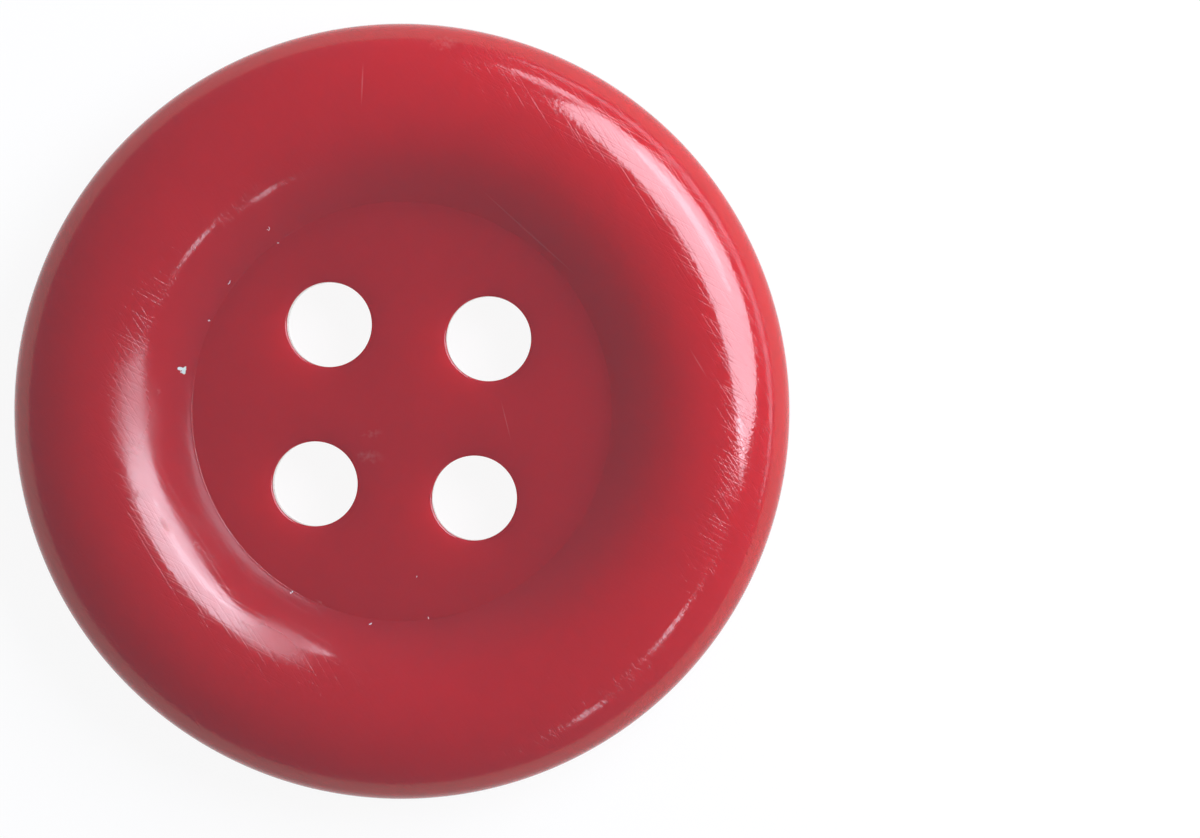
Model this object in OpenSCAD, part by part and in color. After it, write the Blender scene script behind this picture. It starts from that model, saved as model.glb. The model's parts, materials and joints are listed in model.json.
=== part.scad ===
// A large sew-through coat button, moulded in one piece.
// A fat round rim surrounds a flat-floored well, and four holes go through the floor.
// The button lies on its back, face up: the axis is Z, and the back is the plane z = 0.

/* [Rim] */
// Overall diameter, 54 ligne
button_d = 34.3; // [31:0.1:40]
// Overall height, from the back to the crest of the rim
button_h = 5; // [4.2:0.1:6.5]
// How far in from the side the crest of the rim lies
crest_inset = 3.55; // [3:0.05:4]
// Radius of the crown, across the rim
crown_r = 4.1; // [3.6:0.05:6.5]
// Radius that rolls the crown over into the side
shoulder_r = 1.35; // [1:0.05:2.9]
// Radius between the side and the back
back_edge_r = 1.6; // [0.6:0.1:2.5]

/* [Well] */
// Thickness of the floor
floor_h = 2.65; // [2:0.05:4.2]
// How far in from the crest the crown passes into the wall of the well
wall_start = 2.46; // [1.5:0.01:3.2]
// Radius of the wall, across it, from the crown down to the floor
wall_r = 27; // [10:1:60]

/* [Sewing holes] */
// Number of holes
hole_count = 4; // [2, 4]
// Diameter of a hole
hole_d = 3.75; // [2:0.05:4.5]
// Diameter of the circle through the middles of the holes
hole_circle_d = 10; // [8:0.1:12]
// Radius that softens both edges of a hole
hole_lip_r = 0.1; // [0.05:0.05:0.6]

/* [Finish] */
// Colour of the plastic
plastic_colour = "firebrick"; // [firebrick, ivory, black, navy]

/* [Hidden] */

$fn = 180;
// How far a cut or a clip runs past the face that it opens
overrun = 1;

button_r = button_d / 2;
hole_r = hole_d / 2;
hole_pitch = 360 / hole_count;

// The crown is one arc about a point under the crest.
crest_r = button_r - crest_inset;
crown_z = button_h - crown_r;

// The shoulder's arc touches the crown's from inside, and the side at its widest.
shoulder_x = button_r - shoulder_r;
shoulder_out = crest_inset - shoulder_r;
centres_gap = crown_r - shoulder_r;
shoulder_z = crown_z + sqrt(pow(centres_gap, 2) - pow(shoulder_out, 2));

// The crown passes into the shoulder on the line through both centres.
roll_over_x = crest_r + crown_r * shoulder_out / centres_gap;

// The crown passes into the wall without a kink, so the point that they share is in line with both centres.
wall_top_x = crest_r - wall_start;
wall_reach_share = (wall_r - crown_r) / crown_r;
wall_x = crest_r + wall_start * wall_reach_share;
wall_z = crown_z - sqrt(pow(crown_r, 2) - pow(wall_start, 2)) * wall_reach_share;

// The wall and the crown stand on the floor or on the widest line, whichever is lower.
crown_foot = min(floor_h, shoulder_z);

// The back edge is rounded no higher than the widest line.
back_edge = min(back_edge_r, shoulder_z);

// What a rounding takes off a square corner: the origin is the arc's centre, and the corner is at +X -Y.
module lower_corner(radius) {
    difference() {
        translate([0, -radius - overrun])
            square([radius + overrun, radius + overrun]);
        circle(radius);
    }
}

// Half of the button's section, from its axis to its side.
module button_section() {
    // Floor of the well, running on under the rim
    square([crest_r, floor_h]);

    // Side and back, up to the widest line
    difference() {
        translate([crest_r, 0])
            square([crest_inset, shoulder_z]);
        translate([button_r - back_edge, back_edge])
            lower_corner(back_edge);
    }

    // Wall of the well, which meets the floor in a crisp corner
    intersection() {
        translate([wall_x, wall_z])
            circle(wall_r);
        translate([0, crown_foot])
            square([wall_top_x, button_h - crown_foot]);
    }

    // Crown
    intersection() {
        translate([crest_r, crown_z])
            circle(crown_r);
        translate([wall_top_x, crown_foot])
            square([roll_over_x - wall_top_x, button_h - crown_foot + overrun]);
    }

    // Shoulder
    intersection() {
        translate([shoulder_x, shoulder_z])
            circle(shoulder_r);
        translate([roll_over_x, shoulder_z])
            square([shoulder_r + overrun, shoulder_r + overrun]);
    }
}

// What a sewing hole takes out: a straight bore through the floor that flares at both edges.
module sewing_hole() {
    lip_x = hole_r + hole_lip_r;
    rotate_extrude()
        difference() {
            translate([0, -overrun])
                square([lip_x, button_h + 2 * overrun]);
            translate([hole_r, hole_lip_r])
                square([hole_lip_r, floor_h - 2 * hole_lip_r]);
            translate([lip_x, hole_lip_r])
                circle(hole_lip_r);
            translate([lip_x, floor_h - hole_lip_r])
                circle(hole_lip_r);
        }
}

module button() {
    color(plastic_colour)
        difference() {
            rotate_extrude()
                button_section();
            for (k = [0 : hole_count - 1])
                rotate((k + 1 / 2) * hole_pitch)
                    translate([hole_circle_d / 2, 0, 0])
                        sewing_hole();
        }
}

button();
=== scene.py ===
"""A large red sew-through button, polished and a little worn, on a pale floor.

The button is one moulding. Its surface is worked out with numpy from the same section as the solid it
stands for: a rim of tangent arcs round a flat-floored well, with four holes through the floor.
"""

import json
import math

import bmesh
import bpy
import numpy as np
from bpy.props import FloatProperty, FloatVectorProperty, IntProperty, PointerProperty
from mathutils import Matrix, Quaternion, Vector


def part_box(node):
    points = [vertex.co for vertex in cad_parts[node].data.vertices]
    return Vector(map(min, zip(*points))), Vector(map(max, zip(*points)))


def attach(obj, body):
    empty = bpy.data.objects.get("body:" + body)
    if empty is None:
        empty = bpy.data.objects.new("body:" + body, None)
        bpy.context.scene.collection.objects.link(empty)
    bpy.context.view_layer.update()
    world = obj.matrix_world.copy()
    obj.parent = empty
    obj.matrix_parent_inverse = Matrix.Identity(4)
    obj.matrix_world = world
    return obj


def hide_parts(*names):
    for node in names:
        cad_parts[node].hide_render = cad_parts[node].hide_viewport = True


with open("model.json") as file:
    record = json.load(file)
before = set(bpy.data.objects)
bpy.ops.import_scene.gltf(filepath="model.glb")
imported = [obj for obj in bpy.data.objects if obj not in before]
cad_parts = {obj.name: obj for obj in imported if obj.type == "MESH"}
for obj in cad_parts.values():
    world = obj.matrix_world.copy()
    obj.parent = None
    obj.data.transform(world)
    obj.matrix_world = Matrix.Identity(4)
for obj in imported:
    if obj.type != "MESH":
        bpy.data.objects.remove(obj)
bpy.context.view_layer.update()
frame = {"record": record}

bl_info = {
    "name": "Sew-through Button",
    "version": (1, 0, 0),
    "blender": (4, 5, 0),
    "location": "3D View > Sidebar > Button",
    "description": "Makes a polished four-hole button and the stage it lies on",
    "category": "Add Mesh",
}

MM = 0.001
NODE = "button"
HOLES = [mount for mount in frame["record"]["mounts"] if mount["kind"] == "bore"]

# How far the picture is turned from the rows of holes, in degrees
PICTURE_TURN = 5.1

# Points along each stretch of the rim's section, from a flat to the edge of a hole, and round a hole's lip
CORNER_STEPS = 6
WALL_STEPS = 20
CROWN_STEPS = 50
SHOULDER_STEPS = 24
BACK_STEPS = 18
FLAT_STEPS = 15
LIP_STEPS = 7

# Columns round the rim for each point along a straight edge of a quarter of a flat
COLUMNS_PER_EDGE_POINT = 10

# Slow waves on the rim: how many go round it, their twist across it, their start and their weight
RIM_WAVES = (
    (3, 5, 0.0, 1.0),
    (7, -11, 1.3, 1.0),
    (13, 17, 0.4, 0.6),
)

# Points of the mesh that lie closer than this are one
MERGE_DISTANCE = 0.001 * MM

# Wear on the face: right and up from the middle, half length and half width, in millimetres, and the lean
# in degrees
WHITE_SPECKS = (
    (-9.7, 1.85, 0.22, 0.13, 30),
    (-5.9, 8.1, 0.04, 0.04, 0),
    (-5.5, 7.4, 0.04, 0.04, 0),
    (-7.6, 5.7, 0.08, 0.04, 50),
    (-8.5, 4.0, 0.04, 0.04, 0),
    (0.6, -7.3, 0.05, 0.04, 0),
    (1.2, -9.1, 0.05, 0.04, 0),
    (-4.9, -8.0, 0.1, 0.05, 120),
    (-1.4, -9.45, 0.05, 0.04, 0),
)
# The first three are scuffs; the last three are small nicks, where the paler colour is a painted glint
SCUFFS_AND_GLINTS = (
    (-1.3, -1.0, 0.6, 0.18, 12),
    (-1.4, -2.0, 0.8, 0.35, -5),
    (1.9, 16.2, 0.8, 0.35, 5),
    (-9.0, -5.9, 0.3, 0.12, 125),
    (-10.7, 0.9, 0.25, 0.1, 100),
    (-3.6, -8.5, 0.3, 0.1, 160),
)
SCRATCHES = (
    (4.6, -0.4, 1.1, 0.035, 104),
    (-1.7, 14.4, 1.1, 0.05, 88),
    (13.1, 2.1, 0.9, 0.04, 121),
    (5.6, 7.9, 3.2, 0.05, 138),
)
HAZY_PATCHES = (
    (-11.9, 0.2, 4.8, 1.9, 92),
    (-5.6, -10.1, 3.0, 1.1, 151),
    (-11.7, -3.7, 0.5, 0.3, 60),
    (-10.4, -5.0, 0.9, 0.28, 118),
)

# Share of each kind of mark, from its middle, that is at full strength
SPECK_CORE = 0.75
SCUFF_AND_GLINT_CORE = 0.1
SCRATCH_CORE = 0.0
HAZE_CORE = 0.0

# How far each kind of wear pales the colour, and how much it adds to the roughness; among the scuffs, the
# paling at three nicks is a painted glint
SCUFF_AND_GLINT_PALING = 0.1
SCRATCH_PALING = 0.1
HAIRLINE_ROUGHNESS = 0.04
HAZE_ROUGHNESS = 0.28
SCUFF_ROUGHNESS = 0.15
SPECK_ROUGHNESS = 0.5

# Fine scratches all over, each set with its lean in degrees, length and width in millimetres, and threshold
HAIRLINE_SETS = (
    (122, 2.4, 0.08, 0.6),
    (150, 3.2, 0.07, 0.63),
)
HAIRLINE_SOFTNESS = 0.12

# Fine unevenness: grains per millimetre, how far they tear the edges of marks in millimetres, and the range
# of their noise over which each scuff and painted glint goes from bare to full
GRAIN_SCALE = 5.0
TEAR = 0.36
SCUFF_AND_GLINT_RANGE = (0.2, 0.9)

# The rim shields the well from fine wear inside the first radius, less and less up to the second, in
# millimetres, and the share is what still gets there
SHIELD_RADII = (10.9, 11.7)
SHIELDED_SHARE = 0.25

# Marks stay on the plastic above this height in millimetres, and below it each millimetre counts as so many
MARKS_HEIGHT = 2.0
BACK_STRETCH = 100.0

# Faint clouds in the colour and smears in the polish, per millimetre, and the range of the smears' noise
# over which the roughness goes from the lower to the higher multiple of the polish
CLOUD_SCALE = 0.45
SMEAR_SCALE = 0.8
SMEAR_RANGE = (0.3, 0.8)
POLISH_RANGE = (0.8, 1.4)

# How far red, green and blue light travel inside the plastic, as shares of the glow depth
GLOW_SHARES = (1.0, 0.2, 0.15)

# Index of refraction of the polished plastic
REFRACTION = 1.65

# Lights as seen from the button: azimuth from the right of the picture, elevation, half width, half height
# and lean, all in degrees, and the radiance, where 1 is white paper
LIGHTS = {
    "window": (29, 40.3, 27.5, 20.3, -7, 6.8),
    "window_core": (36, 34.5, 13, 4.5, -8, 3.5),
    "window_tail": (65, 24, 10, 3.6, -10, 4.6),
    "window_edge": (-6.5, 43.5, 9, 1.3, 62, 6.5),
    "pane_near": (-39.5, 39, 4.2, 2.6, 30, 5.0),
    "pane_far": (-59, 28, 2.4, 4.0, 0, 4.0),
    "garden": (30, 8.3, 45, 3.4, 0, 1.8),
}
DAYLIGHT = (1.0, 1.0, 1.14)

# Height of the room's bright side in degrees, and the power by which its light falls off across the room
BRIGHT_ELEVATION = 8
FALL_OFF = 4.0

# The floor is a square of this half width, and lies this far under the back
FLOOR_REACH = 3.0
FLOOR_GAP = 0.02 * MM


class ButtonForm(bpy.types.PropertyGroup):
    """Sizes of the moulding that its box and its holes don't give."""

    crest_inset: FloatProperty(
        name="Crest inset", description="How far in from the side the crest of the rim lies",
        default=3.55 * MM, min=0, unit="LENGTH", precision=5)
    crown_radius: FloatProperty(
        name="Crown radius", description="Radius of the crown, across the rim",
        default=4.1 * MM, min=0, unit="LENGTH", precision=5)
    shoulder_radius: FloatProperty(
        name="Shoulder radius", description="Radius that rolls the crown over into the side",
        default=1.35 * MM, min=0, unit="LENGTH", precision=5)
    back_radius: FloatProperty(
        name="Back edge radius", description="Radius between the side and the back",
        default=1.6 * MM, min=0, unit="LENGTH", precision=5)
    wall_start: FloatProperty(
        name="Wall start",
        description="How far in from the crest the crown passes into the wall of the well",
        default=2.46 * MM, min=0, unit="LENGTH", precision=5)
    wall_radius: FloatProperty(
        name="Wall radius", description="Radius of the wall, across it, from the crown down to the floor",
        default=27 * MM, min=0, unit="LENGTH", precision=5)
    corner_radius: FloatProperty(
        name="Corner radius", description="Small radius in the corner of the well",
        default=0.05 * MM, min=0, unit="LENGTH", precision=5)
    unevenness: FloatProperty(
        name="Unevenness", description="Depth of the slow waves that polishing leaves on the rim",
        default=0.012 * MM, min=0, unit="LENGTH", precision=6)
    columns: IntProperty(
        name="Columns", description="Faces round the rim, in fours",
        default=400, min=40, step=4)


class ButtonFinish(bpy.types.PropertyGroup):
    """Colour and polish of the plastic."""

    red: FloatVectorProperty(
        name="Red", description="Colour of the plastic",
        default=(0.385, 0.0058, 0.0095), size=3, min=0, max=1, subtype="COLOR")
    deep_red: FloatVectorProperty(
        name="Deep red", description="Colour of the faint clouds in the plastic",
        default=(0.35, 0.0050, 0.0085), size=3, min=0, max=1, subtype="COLOR")
    # Pale colour of scuffs, scratches and specks; at three nicks among the scuffs it is a painted glint
    worn_and_glint: FloatVectorProperty(
        name="Worn", description="Colour of scuffs and specks",
        default=(0.76, 0.6, 0.55), size=3, min=0, max=1, subtype="COLOR")
    polish: FloatProperty(
        name="Polish", description="Roughness where the polish is good",
        default=0.08, min=0, max=1, subtype="FACTOR")
    glow_depth: FloatProperty(
        name="Glow depth", description="How far red light travels inside the plastic",
        default=1.8 * MM, min=0, unit="LENGTH", precision=5)
    scratch_depth: FloatProperty(
        name="Scratch depth", description="Depth of the hairline scratches",
        default=0.0016 * MM, min=0, unit="LENGTH", precision=6)
    grain_depth: FloatProperty(
        name="Grain depth", description="Depth of the fine unevenness that frays the reflections",
        default=0.0035 * MM, min=0, unit="LENGTH", precision=6)
    wear_turn: FloatProperty(
        name="Wear turn", description="Turn of the wear marks about the button's axis",
        default=math.radians(PICTURE_TURN), subtype="ANGLE")


class ButtonStage(bpy.types.PropertyGroup):
    """Camera, light and floor."""

    camera_height: FloatProperty(
        name="Camera height", description="From half the button's height up to the camera",
        default=450 * MM, unit="LENGTH")
    view_width: FloatProperty(
        name="View width", description="Width of the picture at half the button's height",
        default=53.07 * MM, unit="LENGTH")
    aim: FloatVectorProperty(
        name="Aim", description="Middle of the picture, right and up from the button's middle",
        default=(8.76 * MM, -0.34 * MM), size=2, unit="LENGTH")
    roll: FloatProperty(
        name="Roll", description="Turn of the camera about the button's axis",
        default=math.radians(PICTURE_TURN), subtype="ANGLE")
    floor_white: FloatProperty(
        name="Floor white", description="Share of plain white in what the camera sees of the floor",
        default=0.92, min=0, max=1, subtype="FACTOR")
    floor_colour: FloatVectorProperty(
        name="Floor colour", description="Colour of the floor under light",
        default=(0.92, 0.93, 0.95), size=3, min=0, max=1, subtype="COLOR")
    light_distance: FloatProperty(
        name="Light distance", description="From the button's back to the middle of each light",
        default=180 * MM, min=0, unit="LENGTH")
    room_dim: FloatVectorProperty(
        name="Room, dim side", description="Even light from the side away from the window",
        default=(0.20, 0.22, 0.26), size=3, min=0, max=4, subtype="COLOR")
    room_bright: FloatVectorProperty(
        name="Room, bright side", description="Even light from the window's side",
        default=(0.42, 0.47, 0.56), size=3, min=0, max=4, subtype="COLOR")
    backdrop: FloatVectorProperty(
        name="Backdrop", description="What the polished plastic reflects where there is no light",
        default=(0.50, 0.53, 0.67), size=3, min=0, max=1, subtype="COLOR")
    room_azimuth: FloatProperty(
        name="Bright side", description="Azimuth of the room's bright side, from the right of the picture",
        default=math.radians(65), subtype="ANGLE")


def arc(centre, radius, tilt):
    """Points of a section's arc: its centre plus the radius along a normal that leans outwards by tilt."""
    return np.stack([centre[0] + radius * np.sin(tilt), centre[1] + radius * np.cos(tilt)], axis=1)


def rim_section(form, radius, height, floor):
    """Half section of the rim, from the floor of the well over the crown to the flat of the back.

    Five arcs, each touching the next: a small hollow corner, the wall, the crown, the shoulder and the back
    edge, which the straight side joins to the shoulder.
    """
    crest = radius - form.crest_inset
    crown = (crest, height - form.crown_radius)
    gap = form.crown_radius - form.shoulder_radius
    out = form.crest_inset - form.shoulder_radius
    shoulder = (radius - form.shoulder_radius, crown[1] + math.sqrt(gap**2 - out**2))
    rollover = math.asin(out / gap)

    # The crown passes into the wall in line with both centres.
    lean = math.asin(form.wall_start / form.crown_radius)
    reach = form.wall_radius - form.crown_radius
    wall = (crest + reach * math.sin(lean), crown[1] - reach * math.cos(lean))

    # The corner's centre is its own radius above the floor and outside the wall's circle by as much.
    corner_z = floor + form.corner_radius
    reach = form.wall_radius + form.corner_radius
    corner_lean = math.acos((corner_z - wall[1]) / reach)
    corner = (wall[0] - reach * math.sin(corner_lean), corner_z)

    hollow = arc(corner, -form.corner_radius, np.linspace(0, -corner_lean, CORNER_STEPS))
    wall_arc = arc(wall, form.wall_radius, np.linspace(-corner_lean, -lean, WALL_STEPS))
    crown_arc = arc(crown, form.crown_radius, np.linspace(-lean, rollover, CROWN_STEPS))
    shoulder_tilts = np.linspace(rollover, math.pi / 2, SHOULDER_STEPS)
    shoulder_arc = arc(shoulder, form.shoulder_radius, shoulder_tilts)
    back = (radius - form.back_radius, form.back_radius)
    back_arc = arc(back, form.back_radius, np.linspace(math.pi / 2, math.pi, BACK_STEPS))
    return np.concatenate([hollow, wall_arc[1:], crown_arc[1:], shoulder_arc[1:], back_arc])


def grid_faces(rows, columns, start):
    """Quads of a grid that closes on itself along its columns, as vertex numbers from start."""
    row, column = np.meshgrid(np.arange(rows - 1), np.arange(columns), indexing="ij")
    after = (column + 1) % columns
    quads = np.stack([row * columns + column, row * columns + after,
                      (row + 1) * columns + after, (row + 1) * columns + column], axis=-1)
    return start + quads.reshape(-1, 4)


def rim_grid(form, section, columns):
    """Rim: its section carried round the axis, and sunk by slow waves that run across and round it."""
    turn = 2 * math.pi * np.arange(columns) / columns
    share = np.linspace(0, 1, len(section))[:, None]
    wave = sum(weight * np.sin(count * turn + twist * share + start)
               for count, twist, start, weight in RIM_WAVES)
    wave = wave / sum(weight for *_, weight in RIM_WAVES)
    sunk = section[:, 0:1] - form.unevenness * np.sin(math.pi * share) * (1 + wave) / 2
    return np.stack([sunk * np.cos(turn), sunk * np.sin(turn), section[:, 1:2] + 0 * turn], axis=-1)


def hole_section(radius, lip, floor):
    """Half section of a hole, from the floor to the back: a lip's quarter arc, a straight wall and a lip."""
    bow = np.linspace(0, math.pi / 2, LIP_STEPS)
    upper = np.stack([radius + lip - lip * np.sin(bow), floor - lip + lip * np.cos(bow)], axis=1)
    lower = np.stack([radius + lip - lip * np.cos(bow), lip - lip * np.sin(bow)], axis=1)
    return np.concatenate([upper, lower])


def quarter_outline(radius, columns):
    """Closed outline of a quarter disc: out along one edge, round the arc, and back along the other."""
    along = columns // COLUMNS_PER_EDGE_POINT
    share = np.arange(along) / along
    angle = np.linspace(0, math.pi / 2, columns // 4 + 1)[:-1]
    first = np.stack([share * radius, 0 * share], axis=1)
    bend = radius * np.stack([np.cos(angle), np.sin(angle)], axis=1)
    second = np.stack([0 * share, (1 - share) * radius], axis=1)
    return np.concatenate([first, bend, second])


def quarter_grids(place, flats, wall, columns):
    """Floor, back and bore of the quarter round one hole.

    Each flat is a straight blend, eased at both ends, from the quarter's outline to the edge of the hole.
    The bore is the hole's section carried round its axis, in columns that lead from those of the floor to
    those of the back. The quarter is made between two axes and then spun into its place.
    """
    right, up, _ = place["pos_m"]
    middle = np.hypot(right, up) * math.sqrt(0.5) * np.ones(2)
    angle = math.atan2(up, right) - math.pi / 4
    spin = np.array([[math.cos(angle), math.sin(angle)], [-math.sin(angle), math.cos(angle)]])
    blend = (1 - np.cos(np.linspace(0, math.pi, FLAT_STEPS)))[:, None, None] / 2
    mouth = wall[0, 0]

    aims = []
    grids = []
    for edge, level in flats:
        outline = quarter_outline(edge, columns)
        aim = (outline - middle) / np.linalg.norm(outline - middle, axis=1, keepdims=True)
        aims.append(aim)
        flat = (outline + (middle + mouth * aim - outline) * blend) @ spin
        grids.append(np.concatenate([flat, np.full(flat.shape[:2] + (1,), level)], axis=-1))

    down = np.linspace(0, 1, len(wall))[:, None, None]
    aim = aims[0] + (aims[1] - aims[0]) * down
    aim = aim / np.linalg.norm(aim, axis=-1, keepdims=True)
    bore = (middle + wall[:, None, 0:1] * aim) @ spin
    depth = np.broadcast_to(wall[:, None, 1:2], bore.shape[:2] + (1,))
    grids.append(np.concatenate([bore, depth], axis=-1))
    return grids


def button_mesh(form):
    """Vertices and quads of the whole moulding: the rim, and the quarter round each hole."""
    low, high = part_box(NODE)
    radius = (high.x - low.x) / 2
    hole = HOLES[0]
    floor = 2 * hole["pos_m"][2]
    lip = (floor - hole["dims"]["length_mm"] * MM) / 2
    columns = form.columns - form.columns % 4

    section = rim_section(form, radius, high.z, floor)
    wall = hole_section(hole["dims"]["r_mm"] * MM, lip, floor)
    flats = ((section[0, 0], floor), (section[-1, 0], 0.0))

    # Each grid with whether its faces have to be turned to look outwards
    grids = [(rim_grid(form, section, columns), True)]
    for place in HOLES:
        upper, lower, bore = quarter_grids(place, flats, wall, columns)
        grids += [(upper, False), (lower, True), (bore, False)]

    points, quads, start = [], [], 0
    for grid, turned in grids:
        faces = grid_faces(grid.shape[0], grid.shape[1], start)
        quads.append(faces[:, ::-1] if turned else faces)
        points.append(grid.reshape(-1, 3))
        start += grid.shape[0] * grid.shape[1]
    return np.concatenate(points), np.concatenate(quads)


def put(tree, kind, inputs=None, **settings):
    """Adds a shader node. inputs gives each socket, by name or number, a value or another node's output."""
    node = tree.nodes.new("ShaderNode" + kind)
    for name, value in settings.items():
        setattr(node, name, value)
    for key, value in (inputs or {}).items():
        if isinstance(value, bpy.types.NodeSocket):
            tree.links.new(value, node.inputs[key])
        else:
            node.inputs[key].default_value = value
    return node


def math_node(tree, operation, *values):
    """Output of a Math node on one to three values."""
    return put(tree, "Math", dict(enumerate(values)), operation=operation).outputs[0]


def hairlines(tree, face, lean, long, wide, keep):
    """Mask of fine scratches that lean one way: the peaks of a noise that is drawn out along them."""
    # The location only takes each set from another place in the noise.
    drawn = put(tree, "Mapping", {
        "Vector": face, "Location": (lean, long, 0), "Rotation": (0, 0, math.radians(lean)),
        "Scale": (long, wide, 1)}, vector_type="TEXTURE")
    noise = put(tree, "TexNoise", {"Vector": drawn.outputs[0], "Scale": 1.0, "Detail": 0.0},
                noise_dimensions="2D")
    peaks = put(tree, "MapRange", {"Value": noise.outputs[0], "From Min": keep,
                                   "From Max": keep + HAIRLINE_SOFTNESS})
    return peaks.outputs[0]


def marks(tree, face, spots, core):
    """Mask of oval marks on the face: 1 within the core share of each, falling to 0 at its edge."""
    total = 0.0
    for right, up, half_long, half_wide, lean in spots:
        own = put(tree, "Mapping", {
            "Vector": face, "Location": (right, up, 0), "Rotation": (0, 0, math.radians(lean)),
            "Scale": (half_long, half_wide, 1)}, vector_type="TEXTURE")
        away = put(tree, "VectorMath", {0: own.outputs[0]}, operation="LENGTH")
        mask = put(tree, "MapRange", {"Value": away.outputs["Value"], "From Min": 1.0, "From Max": core},
                   interpolation_type="SMOOTHSTEP")
        total = math_node(tree, "MAXIMUM", total, mask.outputs[0])
    return total


def new_material(name):
    """Empty node material and its tree."""
    material = bpy.data.materials.new(name)
    material.use_nodes = True
    material.node_tree.nodes.clear()
    return material, material.node_tree


def red_plastic(finish):
    """Polished red plastic: faint clouds, a glow inside, hairline scratches, scuffs, white specks and
    painted glints at three nicks.
    """
    material, tree = new_material("red_plastic")
    coordinates = put(tree, "TexCoord")
    place = put(tree, "VectorMath", {0: coordinates.outputs["Object"], "Scale": 1 / MM},
                operation="SCALE").outputs[0]
    face = put(tree, "Mapping", {"Vector": place, "Rotation": (0, 0, -finish.wear_turn),
                                 "Scale": (1, 1, 0)}).outputs[0]

    # The marks are kept off the back by moving it away from them.
    height = put(tree, "SeparateXYZ", {0: place}).outputs[2]
    behind = math_node(tree, "MAXIMUM", math_node(tree, "SUBTRACT", MARKS_HEIGHT, height), 0.0)
    away = put(tree, "CombineXYZ", {2: math_node(tree, "MULTIPLY", behind, BACK_STRETCH)}).outputs[0]
    face = put(tree, "VectorMath", {0: face, 1: away}, operation="ADD").outputs[0]

    # The grain tears the edges of specks, scuffs and painted glints, and breaks up the scuffs and painted
    # glints.
    grain = put(tree, "TexNoise", {"Vector": face, "Scale": GRAIN_SCALE, "Detail": 1.0},
                noise_dimensions="2D")
    shift = put(tree, "VectorMath", {0: grain.outputs["Color"], 1: (0.5, 0.5, 0.5)}, operation="SUBTRACT")
    torn = put(tree, "VectorMath", {0: shift.outputs[0], 1: (TEAR, TEAR, 0), 2: face},
               operation="MULTIPLY_ADD").outputs[0]
    patchy = put(tree, "MapRange", {"Value": grain.outputs[0], "From Min": SCUFF_AND_GLINT_RANGE[0],
                                    "From Max": SCUFF_AND_GLINT_RANGE[1]})

    specks = marks(tree, torn, WHITE_SPECKS, SPECK_CORE)
    # The scuffs also hold three nicks, whose paler colour is a painted glint
    scuffs_and_glints = math_node(tree, "MULTIPLY", marks(tree, torn, SCUFFS_AND_GLINTS, SCUFF_AND_GLINT_CORE), patchy.outputs[0])
    scratches = marks(tree, face, SCRATCHES, SCRATCH_CORE)
    hazy = marks(tree, face, HAZY_PATCHES, HAZE_CORE)
    lines = 0.0
    for hairline_set in HAIRLINE_SETS:
        lines = math_node(tree, "ADD", lines, hairlines(tree, face, *hairline_set))

    # The rim shields the well, so its floor and wall are less scratched.
    radius = put(tree, "VectorMath", {0: face}, operation="LENGTH").outputs["Value"]
    exposed = put(tree, "MapRange", {"Value": radius, "From Min": SHIELD_RADII[0],
                                     "From Max": SHIELD_RADII[1], "To Min": SHIELDED_SHARE})
    lines = math_node(tree, "MULTIPLY", lines, exposed.outputs[0])
    frayed = math_node(tree, "MULTIPLY", grain.outputs[0], exposed.outputs[0])

    cloud = put(tree, "TexNoise", {"Vector": place, "Scale": CLOUD_SCALE, "Detail": 2.0})
    colour = put(tree, "Mix", {0: cloud.outputs[0], 6: (*finish.deep_red, 1), 7: (*finish.red, 1)},
                 data_type="RGBA")
    # Scratches, scuffs and specks pale the colour; at the three nicks the paling is a painted glint
    pale = math_node(tree, "MULTIPLY", scratches, SCRATCH_PALING)
    pale = math_node(tree, "MULTIPLY_ADD", scuffs_and_glints, SCUFF_AND_GLINT_PALING, pale)
    pale = math_node(tree, "MAXIMUM", pale, specks)
    worn_and_glint = put(tree, "Mix", {0: pale, 6: colour.outputs[2], 7: (*finish.worn_and_glint, 1)}, data_type="RGBA")

    smear = put(tree, "TexNoise", {"Vector": place, "Scale": SMEAR_SCALE, "Detail": 2.0})
    rough = put(tree, "MapRange", {
        "Value": smear.outputs[0], "From Min": SMEAR_RANGE[0], "From Max": SMEAR_RANGE[1],
        "To Min": finish.polish * POLISH_RANGE[0], "To Max": finish.polish * POLISH_RANGE[1]}).outputs[0]
    for wear, added in ((lines, HAIRLINE_ROUGHNESS), (hazy, HAZE_ROUGHNESS),
                        (scuffs_and_glints, SCUFF_ROUGHNESS), (specks, SPECK_ROUGHNESS)):
        rough = math_node(tree, "MULTIPLY_ADD", wear, added, rough)

    dents = math_node(tree, "MULTIPLY", lines, finish.scratch_depth)
    dents = math_node(tree, "MULTIPLY_ADD", frayed, finish.grain_depth, dents)
    dented = put(tree, "Bump", {"Distance": 1.0, "Height": dents}, invert=True)

    # The renderer lets light travel the radius over 4 pi, which the scale makes up for.
    shader = put(tree, "BsdfPrincipled", {
        "Base Color": worn_and_glint.outputs[2], "Roughness": rough, "IOR": REFRACTION, "Normal": dented.outputs[0],
        "Subsurface Weight": 1.0, "Subsurface Radius": GLOW_SHARES,
        "Subsurface Scale": 4 * math.pi * finish.glow_depth})
    put(tree, "OutputMaterial", {"Surface": shader.outputs[0]})
    return material


def plainly_seen(tree):
    """1 for what the camera sees, straight, in a reflection or through glass, and 0 for what only lights."""
    path = put(tree, "LightPath")
    seen = math_node(tree, "MAXIMUM", path.outputs["Is Camera Ray"], path.outputs["Is Glossy Ray"])
    return math_node(tree, "MAXIMUM", seen, path.outputs["Is Transmission Ray"])


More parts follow.
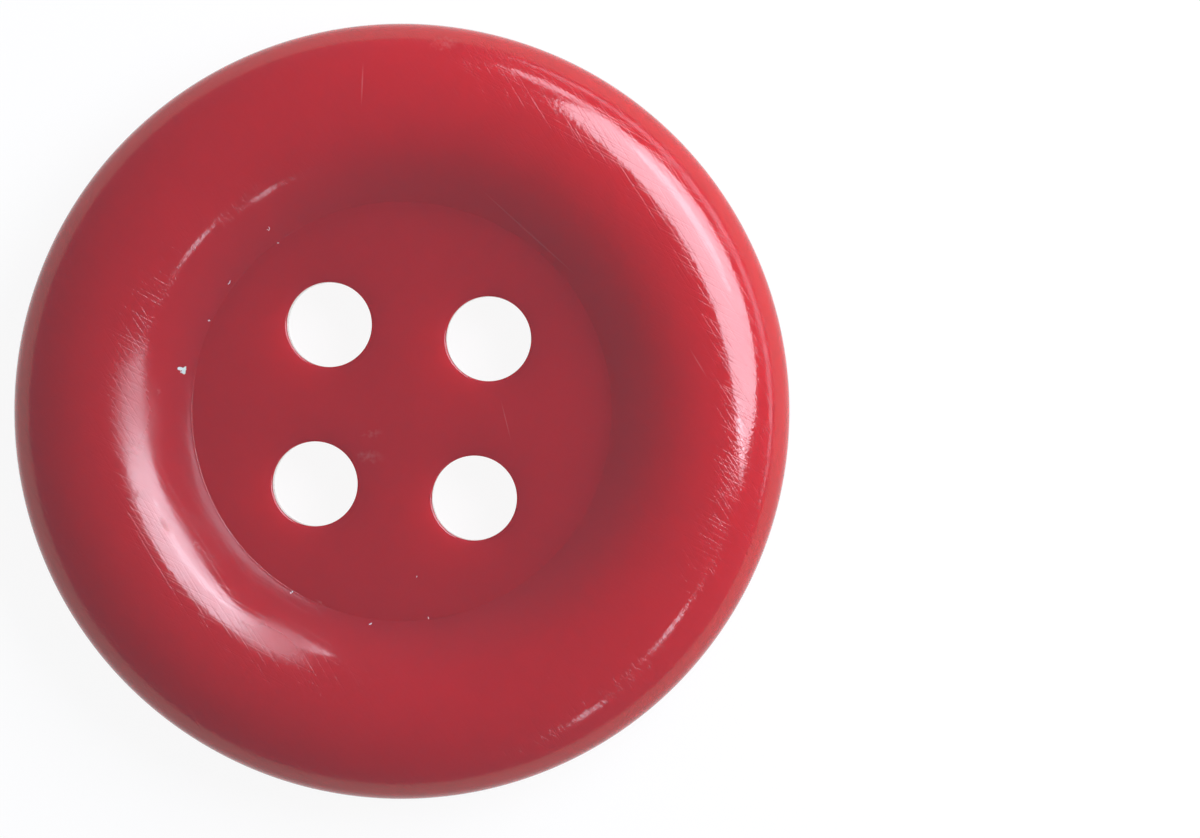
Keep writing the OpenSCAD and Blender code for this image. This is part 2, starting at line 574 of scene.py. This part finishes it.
def pale_floor(stage):
    """Pale floor whose white doesn't depend on the light, mixed with a lit share that keeps the shadow."""
    material, tree = new_material("pale_floor")
    share = math_node(tree, "MULTIPLY", plainly_seen(tree), stage.floor_white)
    lit = put(tree, "BsdfDiffuse", {"Color": (*stage.floor_colour, 1)})
    white = put(tree, "Emission", {"Color": (1, 1, 1, 1), "Strength": 1.0})
    mixed = put(tree, "MixShader", {0: share, 1: lit.outputs[0], 2: white.outputs[0]})
    put(tree, "OutputMaterial", {"Surface": mixed.outputs[0]})
    return material


def new_object(name, points, quads, material):
    """Mesh object at the origin, with its doubles merged and its faces smooth."""
    mesh = bpy.data.meshes.new(name)
    mesh.from_pydata(points.tolist(), [], quads.tolist())
    shape = bmesh.new()
    shape.from_mesh(mesh)
    bmesh.ops.remove_doubles(shape, verts=shape.verts, dist=MERGE_DISTANCE)
    shape.to_mesh(mesh)
    shape.free()
    mesh.polygons.foreach_set("use_smooth", np.ones(len(mesh.polygons), bool))
    mesh.materials.append(material)
    made = bpy.data.objects.new(name, mesh)
    bpy.context.scene.collection.objects.link(made)
    return made


def direction(azimuth, elevation):
    """Unit vector at an azimuth and elevation, in radians."""
    return Vector((math.cos(elevation) * math.cos(azimuth), math.cos(elevation) * math.sin(azimuth),
                   math.sin(elevation)))


def soft_light(name, distance, azimuth, elevation, half_w, half_h, lean, radiance):
    """Oval light that faces the button, of a given size, lean and radiance as the button sees it."""
    lamp = bpy.data.lights.new(name, "AREA")
    lamp.shape = "ELLIPSE"
    lamp.size = 2 * distance * math.tan(half_w)
    lamp.size_y = 2 * distance * math.tan(half_h)
    area = math.pi / 4 * lamp.size * lamp.size_y
    lamp.energy = math.pi * radiance * area
    lamp.color = DAYLIGHT
    light = bpy.data.objects.new(name, lamp)
    towards = direction(azimuth, elevation)
    light.location = towards * distance
    light.rotation_euler = (towards.to_track_quat("Z", "Y") @ Quaternion((0, 0, 1), lean)).to_euler()
    light.visible_camera = False
    bpy.context.scene.collection.objects.link(light)


def room(stage):
    """Even light that grows from the dim side of the room to its bright side, as a power of the way across.

    The camera and the reflections see an even backdrop instead.
    """
    world = bpy.data.worlds.new("room")
    world.use_nodes = True
    tree = world.node_tree
    tree.nodes.clear()
    towards = put(tree, "TexCoord").outputs["Generated"]
    bright = direction(stage.room_azimuth + stage.roll, math.radians(BRIGHT_ELEVATION))
    across = put(tree, "VectorMath", {0: towards, 1: bright}, operation="DOT_PRODUCT").outputs["Value"]
    share = put(tree, "MapRange", {"Value": across, "From Min": -1.0, "From Max": 1.0}).outputs[0]
    share = math_node(tree, "POWER", share, FALL_OFF)
    colour = put(tree, "Mix", {0: share, 6: (*stage.room_dim, 1), 7: (*stage.room_bright, 1)},
                 data_type="RGBA")
    colour = put(tree, "Mix", {0: plainly_seen(tree), 6: colour.outputs[2], 7: (*stage.backdrop, 1)},
                 data_type="RGBA")
    background = put(tree, "Background", {"Color": colour.outputs[2]})
    put(tree, "OutputWorld", {"Surface": background.outputs[0]})
    return world


class BUTTON_OT_moulding(bpy.types.Operator):
    """Make the button itself."""

    bl_idname = "button.moulding"
    bl_label = "Button"

    def execute(self, context):
        scene = context.scene
        points, quads = button_mesh(scene.button_form)
        piece = new_object("red_button", points, quads, red_plastic(scene.button_finish))
        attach(piece, "root")
        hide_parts(NODE)
        return {"FINISHED"}


class BUTTON_OT_stage(bpy.types.Operator):
    """Make the floor, the light and the camera."""

    bl_idname = "button.stage"
    bl_label = "Stage"

    def execute(self, context):
        scene = context.scene
        stage = scene.button_stage
        corners = np.array([(-1, -1), (1, -1), (1, 1), (-1, 1)]) * FLOOR_REACH
        points = np.column_stack([corners, np.full(len(corners), -FLOOR_GAP)])
        floor = new_object("floor", points, np.array([[0, 1, 2, 3]]), pale_floor(stage))

        for name, (*angles, radiance) in LIGHTS.items():
            azimuth, *rest = np.radians(angles).tolist()
            soft_light(name, stage.light_distance, azimuth + stage.roll, *rest, radiance)
        scene.world = room(stage)

        camera = bpy.data.cameras.new("camera")
        camera.sensor_fit = "HORIZONTAL"
        camera.lens = camera.sensor_width * stage.camera_height / stage.view_width
        viewer = bpy.data.objects.new("camera", camera)
        right = direction(stage.roll, 0)
        up = direction(stage.roll + math.pi / 2, 0)
        low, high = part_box(NODE)
        viewer.location = right * stage.aim[0] + up * stage.aim[1]
        viewer.location.z = (low.z + high.z) / 2 + stage.camera_height
        viewer.rotation_euler = (0, 0, stage.roll)
        scene.collection.objects.link(viewer)
        scene.camera = viewer
        scene.view_settings.view_transform = "Standard"
        return {"FINISHED"}


class BUTTON_PT_panel(bpy.types.Panel):
    """Lists the button's settings and what makes it."""

    bl_idname = "BUTTON_PT_panel"
    bl_label = "Sew-through Button"
    bl_space_type = "VIEW_3D"
    bl_region_type = "UI"
    bl_category = "Button"

    def draw(self, context):
        for group in GROUPS:
            box = self.layout.box()
            box.label(text=group.replace("_", " ").capitalize())
            settings = getattr(context.scene, group)
            for name in settings.__annotations__:
                box.prop(settings, name)
        self.layout.operator(BUTTON_OT_moulding.bl_idname)
        self.layout.operator(BUTTON_OT_stage.bl_idname)


GROUPS = {"button_form": ButtonForm, "button_finish": ButtonFinish, "button_stage": ButtonStage}
CLASSES = (*GROUPS.values(), BUTTON_OT_moulding, BUTTON_OT_stage, BUTTON_PT_panel)


def register():
    """Registers the classes and gives the scene its settings."""
    for kind in CLASSES:
        bpy.utils.register_class(kind)
    for name, kind in GROUPS.items():
        setattr(bpy.types.Scene, name, PointerProperty(type=kind))


def unregister():
    """Takes back what register gave."""
    for name in GROUPS:
        delattr(bpy.types.Scene, name)
    for kind in reversed(CLASSES):
        bpy.utils.unregister_class(kind)


def main():
    """Makes the button and its stage."""
    register()
    bpy.ops.button.moulding()
    bpy.ops.button.stage()


if __name__ == "__main__":
    main()
